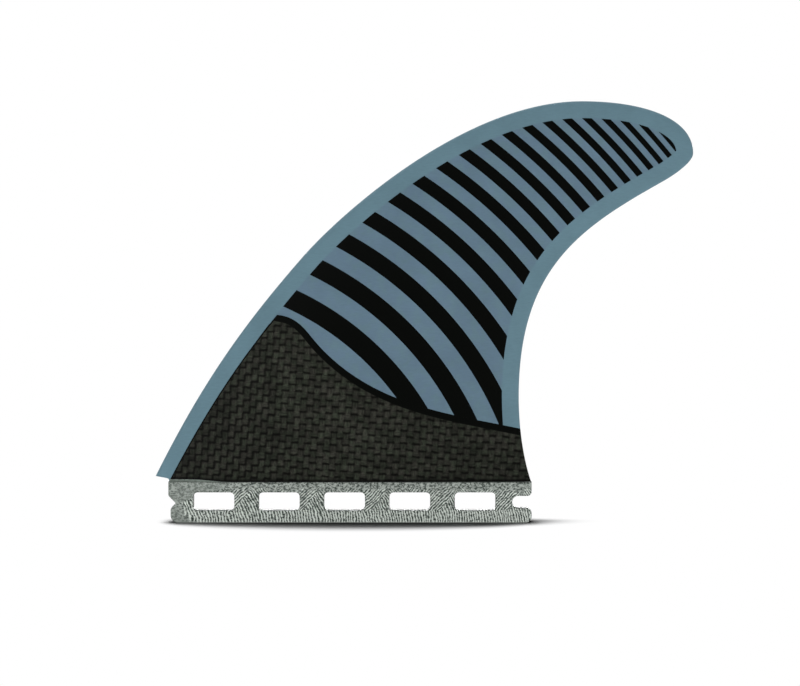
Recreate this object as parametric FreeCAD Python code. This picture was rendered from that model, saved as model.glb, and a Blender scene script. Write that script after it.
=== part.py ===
import FreeCAD, Part
import math
import os

# A swept surfboard fin with a single plug-in tab, in millimetres.
# X runs from the leading edge back to the trailing edge, Y across the foil and Z up.
# The origin is the middle of the tab's foot, so the tab fills Z from 0 to TAB_DEPTH.

# Tab that drops into the fin box
TAB_LENGTH = 114.0
TAB_DEPTH = 12.8
TAB_THICKNESS = 6.6
TAB_FOOT_EDGE_RADIUS = 0.5

# Row of windows that lightens the tab, between solid ends and with webs between the windows
WINDOW_COUNT = 5
SOLID_FRONT_LENGTH = 7.9
SOLID_REAR_LENGTH = 11.3
WEB_LENGTH = 7.7
WINDOW_HEIGHT = 5.7
WINDOW_CORNER_RADIUS = 1.3
WINDOW_LIFT = 3.8

# Notch in the tab's front end for the securing screw
NOTCH_DEPTH = 2.4
NOTCH_LIFT = 6.05
NOTCH_ROOT_RADIUS = 0.4
NOTCH_LIP_RADIUS = 0.8
FRONT_LOBE_SETBACK = 0.7
FRONT_LOBE_TOP_RADIUS = 1.2
FRONT_LOBE_FOOT_RADIUS = 2.3

# Open slot in the tab's rear end for the box's cross pin
SLOT_LENGTH = 6.1
SLOT_WIDTH = 3.9
SLOT_LIFT = 4.5
SLOT_UPPER_LIP_RADIUS = 1.3
SLOT_LOWER_LIP_RADIUS = 1.5
REAR_FOOT_RADIUS = 1.8

# Blade outline: heights are above the board line, lengths start from the tab's ends
BLADE_DEPTH = 119.35
LEADING_OVERHANG = 4.94
SHOULDER_BACK = 42.5
SHOULDER_HEIGHT = 70.9
APEX_BEHIND_TAB = 15.7
TIP_BEHIND_TAB = 50.6
TIP_DROP = 16.25
UNDERSIDE_AHEAD_OF_TIP = 9.7
UNDERSIDE_DROP = 9.0
WAIST_INSIDE_TAB = 4.0
WAIST_HEIGHT = 26.7
TRAILING_FOOT_INSIDE_TAB = 0.15

# Directions of the outline at its knots, in degrees
LEADING_FOOT_ANGLE = 63.6
SHOULDER_ANGLE = 48.7
UNDERSIDE_ANGLE = 29.3
TRAILING_FOOT_ANGLE = 108.0

# How firmly each knot holds its direction: the lengths of the cubic curves' handles
LEADING_FOOT_HANDLE = 32.8
SHOULDER_HANDLE_DOWN = 30.6
SHOULDER_HANDLE_UP = 16.4
APEX_HANDLE_FORWARD = 36.9
APEX_HANDLE_BACK = 20.2
TIP_HANDLE_UP = 10.6
TIP_HANDLE_DOWN = 2.9
UNDERSIDE_HANDLE_OUT = 4.0
UNDERSIDE_HANDLE_IN = 29.5
WAIST_HANDLE_UP = 40.4
WAIST_HANDLE_DOWN = 6.7
TRAILING_FOOT_HANDLE = 10.3

# Undercut that lets the leading foot ride over the rim of the fin box
UNDERCUT_LIFT = 1.0
UNDERCUT_ANGLE = 10.0

# Foil: one symmetric section, thinner towards the tip, on ribs that fan out from foot to tip
ROOT_THICKNESS = 7.0
TIP_THICKNESS = 1.0
THICKNESS_FALL = 1.1
CREST_SHARE = 0.35
ROOT_NOSE_RADIUS = 1.1
TIP_NOSE_RADIUS = 0.45
TRAILING_THICKNESS = 0.9
FRONT_FULLNESS = 2.2
REAR_FULLNESS = 1.8
TIP_FLAT_LENGTH = 2.4

# Numbers of ribs, of points on each face of a rib ahead of and behind its thickest place,
# and of the points round its nose, which narrow flats join
RIB_COUNT = 16
AHEAD_POINT_COUNT = 3
BEHIND_POINT_COUNT = 4
NOSE_POINT_COUNT = 7

# Carbon ply let in flush on each face, inside a bare rim along the leading edge
PLY_THICKNESS = 0.3
RIM_WIDTH_AT_FOOT = 4.5
RIM_WIDTH_AT_PEAK = 5.4
RIM_POINT_COUNT = 6
PLY_PEAK_HEIGHT = 52.4
PLY_SHOULDER_BACK = 47.5
PLY_SHOULDER_HEIGHT = 42.5
PLY_REAR_HEIGHT = 15.8

# Directions and handles of the ply's upper edge, which swoops down from its peak
PLY_PEAK_ANGLE = -4.0
PLY_SHOULDER_ANGLE = -47.0
PLY_REAR_ANGLE = -13.0
PLY_PEAK_HANDLE = 7.0
PLY_SHOULDER_HANDLE_UP = 6.0
PLY_SHOULDER_HANDLE_DOWN = 27.0
PLY_REAR_HANDLE = 24.0

# Spare reach of cutting shapes past what they cut
CUT_SPARE = 10.0
CORE_RUN_OUT_SHARE = 0.02

# Halvings that find where a curve reaches a height, and the shortest edge worth making
BISECTION_COUNT = 30
SHORTEST_EDGE = 1e-6

# Fixed places that follow from the sizes above
TAB_FRONT = -TAB_LENGTH / 2
TAB_REAR = TAB_LENGTH / 2
BOARD_LINE = TAB_DEPTH
APEX_HEIGHT = BOARD_LINE + BLADE_DEPTH


def flat_point(x, z):
    """Point in the fin's middle plane."""
    return FreeCAD.Vector(x, 0, z)


def direction(degrees):
    """Unit vector in the middle plane, measured up from +X."""
    return flat_point(math.cos(math.radians(degrees)), math.sin(math.radians(degrees)))


def cubic(start, start_handle, end_handle, end):
    """Cubic curve from its end points and the vectors of its two handles."""
    curve = Part.BezierCurve()
    curve.setPoles([start, start + start_handle, end + end_handle, end])
    return curve


def outline_knots():
    """Points where the curves of the blade's outline meet."""
    apex = flat_point(TAB_REAR + APEX_BEHIND_TAB, APEX_HEIGHT)
    tip = flat_point(TAB_REAR + TIP_BEHIND_TAB, APEX_HEIGHT - TIP_DROP)
    return {
        "leading_foot": flat_point(TAB_FRONT - LEADING_OVERHANG, BOARD_LINE),
        "shoulder": flat_point(TAB_FRONT + SHOULDER_BACK, BOARD_LINE + SHOULDER_HEIGHT),
        "apex": apex,
        "tip": tip,
        "underside": tip - flat_point(UNDERSIDE_AHEAD_OF_TIP, UNDERSIDE_DROP),
        "waist": flat_point(TAB_REAR - WAIST_INSIDE_TAB, BOARD_LINE + WAIST_HEIGHT),
        "trailing_foot": flat_point(TAB_REAR - TRAILING_FOOT_INSIDE_TAB, BOARD_LINE),
    }


def leading_edge():
    """Leading edge from the board line over the shoulder and the apex to the tip."""
    knots = outline_knots()
    start = direction(LEADING_FOOT_ANGLE) * LEADING_FOOT_HANDLE
    rise = direction(SHOULDER_ANGLE)
    level = flat_point(1, 0)
    upright = flat_point(0, 1)
    return [
        cubic(knots["leading_foot"], start, rise * -SHOULDER_HANDLE_DOWN, knots["shoulder"]),
        cubic(knots["shoulder"], rise * SHOULDER_HANDLE_UP, level * -APEX_HANDLE_FORWARD, knots["apex"]),
        cubic(knots["apex"], level * APEX_HANDLE_BACK, upright * TIP_HANDLE_UP, knots["tip"]),
    ]


def trailing_edge():
    """Trailing edge from the board line through the waist and along the underside to the tip."""
    knots = outline_knots()
    start = direction(TRAILING_FOOT_ANGLE) * TRAILING_FOOT_HANDLE
    sweep = direction(UNDERSIDE_ANGLE)
    upright = flat_point(0, 1)
    return [
        cubic(knots["trailing_foot"], start, upright * -WAIST_HANDLE_DOWN, knots["waist"]),
        cubic(knots["waist"], upright * WAIST_HANDLE_UP, sweep * -UNDERSIDE_HANDLE_IN, knots["underside"]),
        cubic(knots["underside"], sweep * UNDERSIDE_HANDLE_OUT, upright * -TIP_HANDLE_DOWN, knots["tip"]),
    ]


def length_of(curves):
    """Length of a run of curves."""
    return sum(curve.length() for curve in curves)


def point_along(curves, share):
    """Point at a share of the length of a run of curves."""
    left = share * length_of(curves)
    for curve in curves[:-1]:
        if left < curve.length():
            return curve.value(curve.parameterAtDistance(left))
        left -= curve.length()
    return curves[-1].value(curves[-1].parameterAtDistance(left))


def rib_shares():
    """Shares of both edges' lengths at which the ribs stand, closing up towards foot and tip."""
    last = 1 - TIP_FLAT_LENGTH / (length_of(leading_edge()) + length_of(trailing_edge()))
    turns = [math.pi * step / (RIB_COUNT - 1) for step in range(RIB_COUNT)]
    return [last * (1 - math.cos(turn)) / 2 for turn in turns]


def taper(share, root, tip):
    """Size that falls from root to tip along the blade."""
    return tip + (root - tip) * (1 - share ** THICKNESS_FALL)


def right_face_points(share):
    """Front point of a rib, and the points of its right face from nose to trailing edge."""
    front = point_along(leading_edge(), share)
    rear = point_along(trailing_edge(), share)
    chord = (rear - front).Length
    along = (rear - front).normalize()
    across_fin = FreeCAD.Vector(0, 1, 0)
    crest_y = taper(share, ROOT_THICKNESS, TIP_THICKNESS) / 2
    crest_x = chord * CREST_SHARE
    radius = taper(share, ROOT_NOSE_RADIUS, TIP_NOSE_RADIUS)
    lean = math.atan2(FRONT_FULLNESS * (crest_y - radius), crest_x - radius)
    nose_x = radius * (1 - math.sin(lean))
    nose_y = radius * math.cos(lean)
    points = []
    for step in range(AHEAD_POINT_COUNT):
        part = step / AHEAD_POINT_COUNT
        y = crest_y - (crest_y - nose_y) * (1 - part) ** FRONT_FULLNESS
        points.append(front + along * (nose_x + (crest_x - nose_x) * part) + across_fin * y)
    for step in range(BEHIND_POINT_COUNT + 1):
        part = step / BEHIND_POINT_COUNT
        y = crest_y - (crest_y - TRAILING_THICKNESS / 2) * part ** REAR_FULLNESS
        points.append(front + along * (crest_x + (chord - crest_x) * part) + across_fin * y)
    return front, points


def mirrored(points):
    """The same points on the other face."""
    return [FreeCAD.Vector(point.x, -point.y, point.z) for point in points]


def face_parameters():
    """Parameters of one face's points, the same in every section: shares of the chord."""
    ahead = [CREST_SHARE * step / AHEAD_POINT_COUNT for step in range(AHEAD_POINT_COUNT)]
    behind = [
        CREST_SHARE + (1 - CREST_SHARE) * step / BEHIND_POINT_COUNT
        for step in range(BEHIND_POINT_COUNT + 1)
    ]
    return ahead + behind


def spline(points, parameters):
    """Smooth curve through points at given parameters."""
    curve = Part.BSplineCurve()
    curve.interpolate(Points=points, Parameters=parameters)
    return curve


def closed_section(curves):
    """Closed wire of curves that meet end to end."""
    return Part.Wire([curve.toShape() for curve in curves])


def blade_section(share):
    """Foil section on a rib, with a round nose of narrow flats and a squared trailing edge."""
    front, right = right_face_points(share)
    left = mirrored(right)
    nose = Part.Arc(left[0], front, right[0]).discretize(NOSE_POINT_COUNT)
    flats = [Part.LineSegment(start, end) for start, end in zip(nose, nose[1:])]
    return closed_section(flats + [
        spline(right, face_parameters()),
        Part.LineSegment(right[-1], left[-1]),
        spline(left, face_parameters()),
    ])


def core_section(share):
    """Section that lies one ply inside both faces and runs out past the trailing edge."""
    inset = FreeCAD.Vector(0, PLY_THICKNESS, 0)
    right = [point - inset for point in right_face_points(share)[1]]
    chord = right[-1] - right[0]
    run_out = flat_point(chord.x, chord.z) * CORE_RUN_OUT_SHARE
    right.append(right[-1] + run_out)
    left = mirrored(right)
    parameters = face_parameters() + [1 + CORE_RUN_OUT_SHARE]
    return closed_section([
        Part.LineSegment(left[0], right[0]),
        spline(right, parameters),
        Part.LineSegment(right[-1], left[-1]),
        spline(left, parameters),
    ])


def blade_solid():
    """Foiled blade from the board line to the tip, undercut ahead of the tab."""
    return Part.makeLoft([blade_section(share) for share in rib_shares()], True).cut(undercut())


def core_solid():
    """What is left of the blade under the two plies, wherever they lie."""
    return Part.makeLoft([core_section(share) for share in rib_shares()], True)


def undercut():
    """Wedge of space under the leading foot, ahead of the tab."""
    corner = flat_point(TAB_FRONT, BOARD_LINE + UNDERCUT_LIFT)
    reach = LEADING_OVERHANG + CUT_SPARE
    outer = corner + flat_point(-reach, reach * math.tan(math.radians(UNDERCUT_ANGLE)))
    floor_front = flat_point(outer.x, BOARD_LINE - CUT_SPARE)
    floor_back = flat_point(TAB_FRONT, BOARD_LINE - CUT_SPARE)
    outline = Part.makePolygon([corner, outer, floor_front, floor_back, corner])
    return across(outline, ROOT_THICKNESS + CUT_SPARE)


def across(outline, width):
    """Solid of an outline in the middle plane, width wide and centred on that plane."""
    face = Part.Face(outline)
    face.translate(FreeCAD.Vector(0, -width / 2, 0))
    return face.extrude(FreeCAD.Vector(0, width, 0))


def rounded_outline(corners):
    """Closed outline in the middle plane through (x, z, radius) corners."""
    edges = []
    spans = []
    for index, (x, z, radius) in enumerate(corners):
        corner = flat_point(x, z)
        before = flat_point(*corners[index - 1][:2]) - corner
        after = flat_point(*corners[(index + 1) % len(corners)][:2]) - corner
        before.normalize()
        after.normalize()
        half_angle = before.getAngle(after) / 2
        reach = radius / math.tan(half_angle)
        inward = (before + after).normalize()
        middle = corner + inward * (radius / math.sin(half_angle) - radius)
        spans.append((corner + before * reach, middle, corner + after * reach))
    for index, (start, middle, end) in enumerate(spans):
        if corners[index][2] > 0:
            edges.append(Part.Arc(start, middle, end).toShape())
        next_start = spans[(index + 1) % len(spans)][0]
        if (next_start - end).Length > SHORTEST_EDGE:
            edges.append(Part.LineSegment(end, next_start).toShape())
    return Part.Wire(edges)


def tab_outline():
    """Side outline of the tab, with the screw notch in front and the pin slot behind."""
    lobe_front = TAB_FRONT + FRONT_LOBE_SETBACK
    slot_end = TAB_REAR - SLOT_LENGTH
    slot_top = SLOT_LIFT + SLOT_WIDTH
    return rounded_outline([
        (lobe_front, 0, FRONT_LOBE_FOOT_RADIUS),
        (TAB_REAR, 0, REAR_FOOT_RADIUS),
        (TAB_REAR, SLOT_LIFT, SLOT_LOWER_LIP_RADIUS),
        (slot_end, SLOT_LIFT, SLOT_WIDTH / 2),
        (slot_end, slot_top, SLOT_WIDTH / 2),
        (TAB_REAR, slot_top, SLOT_UPPER_LIP_RADIUS),
        (TAB_REAR, TAB_DEPTH, 0),
        (TAB_FRONT, TAB_DEPTH, 0),
        (TAB_FRONT, NOTCH_LIFT + NOTCH_DEPTH, NOTCH_LIP_RADIUS),
        (TAB_FRONT + NOTCH_DEPTH, NOTCH_LIFT, NOTCH_ROOT_RADIUS),
        (lobe_front, NOTCH_LIFT - NOTCH_DEPTH + FRONT_LOBE_SETBACK, FRONT_LOBE_TOP_RADIUS),
    ])


def window(low, high):
    """One window through the tab, between two places along it."""
    top = WINDOW_LIFT + WINDOW_HEIGHT
    outline = rounded_outline([
        (low, WINDOW_LIFT, WINDOW_CORNER_RADIUS),
        (high, WINDOW_LIFT, WINDOW_CORNER_RADIUS),
        (high, top, WINDOW_CORNER_RADIUS),
        (low, top, WINDOW_CORNER_RADIUS),
    ])
    return across(outline, TAB_THICKNESS + CUT_SPARE)


def windows():
    """All the windows, sharing the length that the solid ends and the webs leave them."""
    row = TAB_LENGTH - SOLID_FRONT_LENGTH - SOLID_REAR_LENGTH
    length = (row - WEB_LENGTH * (WINDOW_COUNT - 1)) / WINDOW_COUNT
    start = TAB_FRONT + SOLID_FRONT_LENGTH
    pitch = length + WEB_LENGTH
    return [window(start + pitch * i, start + pitch * i + length) for i in range(WINDOW_COUNT)]


def tab_bar():
    """Plain bar of the tab's thickness, with its two long foot edges rounded."""
    side = TAB_THICKNESS / 2
    radius = TAB_FOOT_EDGE_RADIUS
    bar = Part.makeBox(TAB_LENGTH, TAB_THICKNESS, TAB_DEPTH, FreeCAD.Vector(TAB_FRONT, -side, 0))
    foot = [edge for edge in bar.Edges if edge.BoundBox.ZMax < radius and edge.BoundBox.YLength < radius]
    return bar.makeFillet(radius, foot)


def tab():
    """Tab: the bar trimmed to its side outline, with the windows cut through."""
    return tab_bar().common(across(tab_outline(), TAB_THICKNESS + CUT_SPARE)).cut(windows())


def parameter_where(climbing, height):
    """Parameter from 0 to 1 at which a function that only climbs reaches a height."""
    low, high = 0.0, 1.0
    for halving in range(BISECTION_COUNT):
        middle = (low + high) / 2
        if climbing(middle) < height:
            low = middle
        else:
            high = middle
    return (low + high) / 2


def rim_point(parameter):
    """Point of the rim's inner line beside a point of the lower leading edge."""
    lower = leading_edge()[0]
    edge_point = lower.value(parameter)
    climb = lower.tangent(parameter)[0]
    inward = flat_point(climb.z, -climb.x)
    share = (edge_point.z - BOARD_LINE) / PLY_PEAK_HEIGHT
    width = RIM_WIDTH_AT_FOOT + (RIM_WIDTH_AT_PEAK - RIM_WIDTH_AT_FOOT) * share
    return edge_point + inward * width


def ply_outline():
    """Outline of the carbon ply: up the rim, down the swooping upper edge and round the foot."""
    foot, peak = [
        parameter_where(lambda parameter: rim_point(parameter).z, height)
        for height in (BOARD_LINE, BOARD_LINE + PLY_PEAK_HEIGHT)
    ]
    shares = [step / (RIM_POINT_COUNT - 1) for step in range(RIM_POINT_COUNT)]
    line = [rim_point(foot + (peak - foot) * share) for share in shares]
    shoulder = flat_point(TAB_FRONT + PLY_SHOULDER_BACK, BOARD_LINE + PLY_SHOULDER_HEIGHT)
    rear = flat_point(TAB_REAR, BOARD_LINE + PLY_REAR_HEIGHT)
    swoop = direction(PLY_SHOULDER_ANGLE)
    crest = cubic(line[-1], direction(PLY_PEAK_ANGLE) * PLY_PEAK_HANDLE,
                  swoop * -PLY_SHOULDER_HANDLE_UP, shoulder)
    fall = cubic(shoulder, swoop * PLY_SHOULDER_HANDLE_DOWN,
                 direction(PLY_REAR_ANGLE) * -PLY_REAR_HANDLE, rear)
    rear_end = rear + direction(PLY_REAR_ANGLE) * CUT_SPARE
    rear_foot = flat_point(rear_end.x, BOARD_LINE)
    return Part.Wire([
        spline(line, shares).toShape(),
        crest.toShape(),
        fall.toShape(),
        Part.LineSegment(rear, rear_end).toShape(),
        Part.LineSegment(rear_end, rear_foot).toShape(),
        Part.LineSegment(rear_foot, line[0]).toShape(),
    ])


def ply(blade, core, side):
    """Carbon ply on one face: the blade's outer skin inside the ply outline."""
    reach = ROOT_THICKNESS / 2 + CUT_SPARE
    prism = Part.Face(ply_outline()).extrude(FreeCAD.Vector(0, side * reach, 0))
    return blade.common(prism).cut(core)


def fin_nodes():
    """Solids of the fin by node name: the moulding and the two plies let into it."""
    blade = blade_solid()
    core = core_solid()
    left = ply(blade, core, -1)
    right = ply(blade, core, 1)
    body = blade.cut(left).cut(right).fuse(tab()).removeSplitter()
    return {"fin_body": body, "carbon_ply_left": left, "carbon_ply_right": right}


os.makedirs("parts", exist_ok=True)
for name, shape in fin_nodes().items():
    for solid in shape.Solids:
        print(name, "valid" if solid.isValid() else "broken", round(solid.Volume), "cubic mm")
    Part.makeCompound(shape.Solids).exportStep("parts/" + name + ".step")
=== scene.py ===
import math

import bmesh
import bpy
import numpy as np
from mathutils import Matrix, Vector, kdtree


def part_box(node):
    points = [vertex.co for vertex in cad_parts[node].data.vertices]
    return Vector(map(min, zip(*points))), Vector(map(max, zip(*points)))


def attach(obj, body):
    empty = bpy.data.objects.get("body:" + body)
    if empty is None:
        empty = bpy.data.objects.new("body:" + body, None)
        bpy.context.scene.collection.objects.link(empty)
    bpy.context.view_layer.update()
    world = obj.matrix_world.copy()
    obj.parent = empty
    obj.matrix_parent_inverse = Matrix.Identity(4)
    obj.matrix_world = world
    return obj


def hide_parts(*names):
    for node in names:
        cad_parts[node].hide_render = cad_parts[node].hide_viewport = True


# The finish of a surfboard fin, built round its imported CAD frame.
# Metres: X runs from the leading edge back, Y across the foil and Z up from the tab's foot.

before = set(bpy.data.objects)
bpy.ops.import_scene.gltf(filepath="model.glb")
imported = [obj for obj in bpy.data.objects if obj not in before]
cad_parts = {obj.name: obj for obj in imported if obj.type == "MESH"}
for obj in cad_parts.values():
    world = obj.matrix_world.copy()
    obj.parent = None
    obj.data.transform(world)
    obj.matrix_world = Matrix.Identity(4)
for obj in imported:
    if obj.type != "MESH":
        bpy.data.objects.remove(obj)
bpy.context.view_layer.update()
ply_low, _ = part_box("carbon_ply_left")

MM = 0.001

# Tab, as in the CAD model
TAB_LENGTH = 114.0 * MM
TAB_THICKNESS = 6.6 * MM
TAB_EDGE = 0.3 * MM
WINDOW_COUNT = 5
SOLID_FRONT_LENGTH = 7.9 * MM
SOLID_REAR_LENGTH = 11.3 * MM
WEB_LENGTH = 7.7 * MM
WINDOW_HEIGHT = 5.7 * MM
WINDOW_CORNER_RADIUS = 1.3 * MM
WINDOW_LIFT = 3.8 * MM
NOTCH_DEPTH = 2.4 * MM
NOTCH_LIFT = 6.05 * MM
NOTCH_ROOT_RADIUS = 0.4 * MM
NOTCH_LIP_RADIUS = 0.8 * MM
FRONT_LOBE_SETBACK = 0.7 * MM
FRONT_LOBE_TOP_RADIUS = 1.2 * MM
FRONT_LOBE_FOOT_RADIUS = 2.3 * MM
SLOT_LENGTH = 6.1 * MM
SLOT_WIDTH = 3.9 * MM
SLOT_LIFT = 4.5 * MM
SLOT_UPPER_LIP_RADIUS = 1.3 * MM
SLOT_LOWER_LIP_RADIUS = 1.5 * MM
REAR_FOOT_RADIUS = 1.8 * MM
CORNER_STEPS = 8

# Blade outline, as in the CAD model
BLADE_DEPTH = 119.35 * MM
LEADING_OVERHANG = 4.94 * MM
SHOULDER_BACK = 42.5 * MM
SHOULDER_HEIGHT = 70.9 * MM
APEX_BEHIND_TAB = 15.7 * MM
TIP_BEHIND_TAB = 50.6 * MM
TIP_DROP = 16.25 * MM
UNDERSIDE_AHEAD_OF_TIP = 9.7 * MM
UNDERSIDE_DROP = 9.0 * MM
WAIST_INSIDE_TAB = 4.0 * MM
WAIST_HEIGHT = 26.7 * MM
TRAILING_FOOT_INSIDE_TAB = 0.15 * MM
LEADING_FOOT_ANGLE = 63.6
SHOULDER_ANGLE = 48.7
UNDERSIDE_ANGLE = 29.3
TRAILING_FOOT_ANGLE = 108.0
LEADING_FOOT_HANDLE = 32.8 * MM
SHOULDER_HANDLE_DOWN = 30.6 * MM
SHOULDER_HANDLE_UP = 16.4 * MM
APEX_HANDLE_FORWARD = 36.9 * MM
APEX_HANDLE_BACK = 20.2 * MM
TIP_HANDLE_UP = 10.6 * MM
TIP_HANDLE_DOWN = 2.9 * MM
UNDERSIDE_HANDLE_OUT = 4.0 * MM
UNDERSIDE_HANDLE_IN = 29.5 * MM
WAIST_HANDLE_UP = 40.4 * MM
WAIST_HANDLE_DOWN = 6.7 * MM
TRAILING_FOOT_HANDLE = 10.3 * MM
UNDERCUT_LIFT = 1.0 * MM
UNDERCUT_ANGLE = 10.0

# Foil, as in the CAD model
ROOT_THICKNESS = 7.0 * MM
TIP_THICKNESS = 1.0 * MM
THICKNESS_FALL = 1.1
CREST_SHARE = 0.35
ROOT_NOSE_RADIUS = 1.1 * MM
TIP_NOSE_RADIUS = 0.45 * MM
TRAILING_THICKNESS = 0.9 * MM
FRONT_FULLNESS = 2.2
REAR_FULLNESS = 1.8

# At the very tip the foil is never blunter than these shares of its chord
NOSE_LIMIT_SHARE = 0.2
CREST_LIMIT_SHARE = 0.25
TAIL_LIMIT_SHARE = 0.2
LAST_SHARE = 0.9995

# Carbon cloth: its outline as in the CAD model, and how it lies in the blade's skin
RIM_WIDTH_AT_FOOT = 4.5 * MM
RIM_WIDTH_AT_PEAK = 5.4 * MM
PLY_PEAK_HEIGHT = 52.4 * MM
PLY_SHOULDER_BACK = 47.5 * MM
PLY_SHOULDER_HEIGHT = 42.5 * MM
PLY_REAR_HEIGHT = 15.8 * MM
PLY_PEAK_ANGLE = -4.0
PLY_SHOULDER_ANGLE = -47.0
PLY_REAR_ANGLE = -13.0
PLY_PEAK_HANDLE = 7.0 * MM
PLY_SHOULDER_HANDLE_UP = 6.0 * MM
PLY_SHOULDER_HANDLE_DOWN = 27.0 * MM
PLY_REAR_HANDLE = 24.0 * MM
PLY_RUN_OUT = 10.0 * MM
PLY_PROUD = 0.03 * MM
PLY_SUNK = 0.27 * MM

# Mesh density, and how far rows and columns crowd towards their ends, from 0 to 1
CURVE_STEPS = 240
ROW_COUNT = 230
NOSE_STEPS = 7
FACE_STEPS = 118
FRONT_CROWDING = 0.3
FOOT_AND_TIP_CROWDING = 0.5
PLY_ROW_COUNT = 70
PLY_COLUMN_COUNT = 110
TAB_EDGE_STEPS = 3
BISECTION_COUNT = 24
SMOOTH_ANGLE = 40.0

# Printed design: plain ripples about a point under the tab's front, finer towards the tip
PANEL_INSET = 5.3 * MM
PANEL_EDGE_BLUR = 0.5 * MM
BORDER_WIDTH = 2.1 * MM
RIM_LINE_WIDTH = 0.45 * MM
RIPPLE_X = -56.0 * MM
RIPPLE_Z = -12.0 * MM
RIPPLE_START = 84.0 * MM
RIPPLE_END = 208.0 * MM
RIPPLE_FIRST_PERIOD = 13.4 * MM
RIPPLE_LAST_PERIOD = 2.6 * MM
RIPPLE_OFFSET = 0.76
RIPPLE_INK_SHARE = 0.5

# Colours, as sRGB
RIM_BLUE = (101, 130, 142)
PANEL_BLUE = (98, 121, 138)
PANEL_GREEN = (99, 125, 134)
WORN_BLUE = (142, 162, 170)
INK = (1, 2, 1)
CARBON_TOW = (48, 48, 43)
CARBON_TOW_GREEN = (45, 49, 41)
CARBON_GAP_AND_SHADE = (9, 9, 7)
GLASS_DARK = (50, 60, 54)
GLASS_LIGHT = (225, 233, 225)
GLASS_CUT = (112, 121, 114)
FLOOR_WHITE = (250, 250, 250)

# In every material a SCALE is a noise's features for a millimetre, and a STRETCH scales X, Y and Z
# for it. A SPAN is what is read from 0 to 1, and a TONE or LIGHT is what a colour is multiplied by.
NOISE_SPAN = (0.3, 0.7)

# Detail, or detail and roughness, of the noises that aren't the plain kind
SOFT_DETAIL = 1.0
CLOUD_DETAIL = 3.0
FINE_NOISE = (3.0, 0.6)
GRAINY_NOISE = (3.0, 0.75)
SANDING_NOISE = (4.0, 0.6)

# Painted laminate
CLOUD_SCALE = 0.09
CLOUD_TONE = (0.95, 1.04)
PAINT_FIBRE_SCALE = 1.1
PAINT_FIBRE_STRETCH = (0.5, 1.0, 2.2)
PAINT_FIBRE_TONE = (-0.03, 0.03)
PAINT_HUE_SCALE = 0.35
PAINT_HUE_SPAN = (0.4, 0.7)
PAINT_HUE_SHARE = 0.6
WORN_SPAN = (0.1, 0.8)
WORN_SHARE = 0.14
INK_TONE = (0.8, 1.3)
SANDING_SCALE = 2.0
SANDING_STRETCH = (1.0, 1.0, 0.35)
SANDING_SPAN = (0.25, 0.75)
PAINT_ROUGHNESS = (0.34, 0.46)
PAINT_RELIEF = 0.01 * MM
COAT_SPECULAR = 0.025

# Carbon cloth: flat tows of plain weave, a little turned from level, with painted shade at the ends
# where they dive and at one side of each tow
TOW_WIDTH = 2.0 * MM
WEAVE_TURN = 4.0
WEAVE_WANDER = 0.9 * MM
WEAVE_JITTER = 0.6 * MM
WANDER_SCALE = 0.09
JITTER_SCALE = 0.4
UPRIGHT_TOW_SEED = 7.0
LEVEL_TOW_SEED = 31.0
DIVE_SHADE_LENGTH = 0.7 * MM
SIDE_GAP_SHADE = 0.7 * MM
HOLE_RADIUS = 0.6 * MM
HOLE_LIGHT = 0.3
GAP_WAVER = 0.5 * MM
GAP_WAVER_SCALE = 1.6
SHADED_SIDE_LIGHT = (0.05, 0.6)
LIT_SIDE_LIGHT = 0.68
TOW_HUMP_POWER = 3.0
TOW_TONE = (0.77, 1.23)
FILAMENT_SCALE = 1.9
UPRIGHT_FILAMENT_STRETCH = (1.0, 1.0, 0.3)
LEVEL_FILAMENT_STRETCH = (0.3, 1.0, 1.0)
FILAMENT_TONE = (0.68, 1.32)
PATCH_SCALE = 0.2
PATCH_TONE = (0.82, 1.18)
CARBON_HUE_SCALE = 0.5
CARBON_HUE_SPAN = (0.35, 0.65)
CARBON_ROUGHNESS = 0.42
CARBON_RELIEF = 0.03 * MM
CARBON_RELIEF_STRENGTH = 0.5

# Where, along the cloth, the painted shade in the gaps beside its tows grows faint, and its painted
# sheen rises and falls
SIDE_SHADE_DEEP_X = -36.0 * MM
SIDE_SHADE_FAINT_X = -10.0 * MM
CARBON_DIM_X = -48.0 * MM
CARBON_LIT_X = -12.0 * MM
CARBON_LIT_TO_X = 4.0 * MM
CARBON_DULL_X = 34.0 * MM
FRONT_LIGHT = 0.73
REAR_LIGHT = 0.84

# Joint of cloth and tab: the cloth is trimmed a little high in front, and the joint line is darker
TRIM_HEIGHT = 0.75 * MM
TRIM_FROM_X = -50.0 * MM
TRIM_TO_X = -38.0 * MM
TRIM_GRAIN_SPAN = (0.35, 0.65)
TRIM_GRAIN_TONE = (0.85, 1.3)
CLOTH_JOINT_SPAN = (0.2, 1.3)
CLOTH_JOINT_LIGHT = 0.15
TAB_JOINT_BLUR = 0.5 * MM
TAB_JOINT_LIGHT = (1.0, 0.4)

# Bare glass: strands that fall steeply to the rear, and on each web rise to meet them at a ridge
STRAND_PITCH = 0.86 * MM
STRAND_SPREAD = 0.0012
STRAND_SPAN = (-0.25, 0.7)
FALL_SLANT = 0.03
FALL_CURVE = 0.037
RISE_SLANT = 1.05
RISE_CLOSENESS = 0.8
RIDGE_TOP = 9.6 * MM
RIDGE_SLANT = 0.72
RIDGE_DRIFT = 4.2 * MM
STRAND_BEND = 2.0 * MM
BEND_SCALE = 0.17
STRAND_JITTER = 0.9 * MM
STRAND_JITTER_SCALE = 0.8
BROKEN_SCALE = 0.6
BROKEN_SPAN = (0.36, 0.56)
BROKEN_LIGHT = (0.35, 1.05)
COARSE_SCALE = 0.9
COARSE_SPAN = (0.35, 0.65)
COARSE_GAIN = 0.55
COARSE_LEAST = 0.75
GRAIN_SCALE = 1.25
GRAIN_STRETCH = (0.8, 1.0, 1.2)
GRAIN_SPAN = (0.4, 0.6)
GRAIN_MIDDLE = 0.38
GRAIN_GAIN = 0.55

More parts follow.
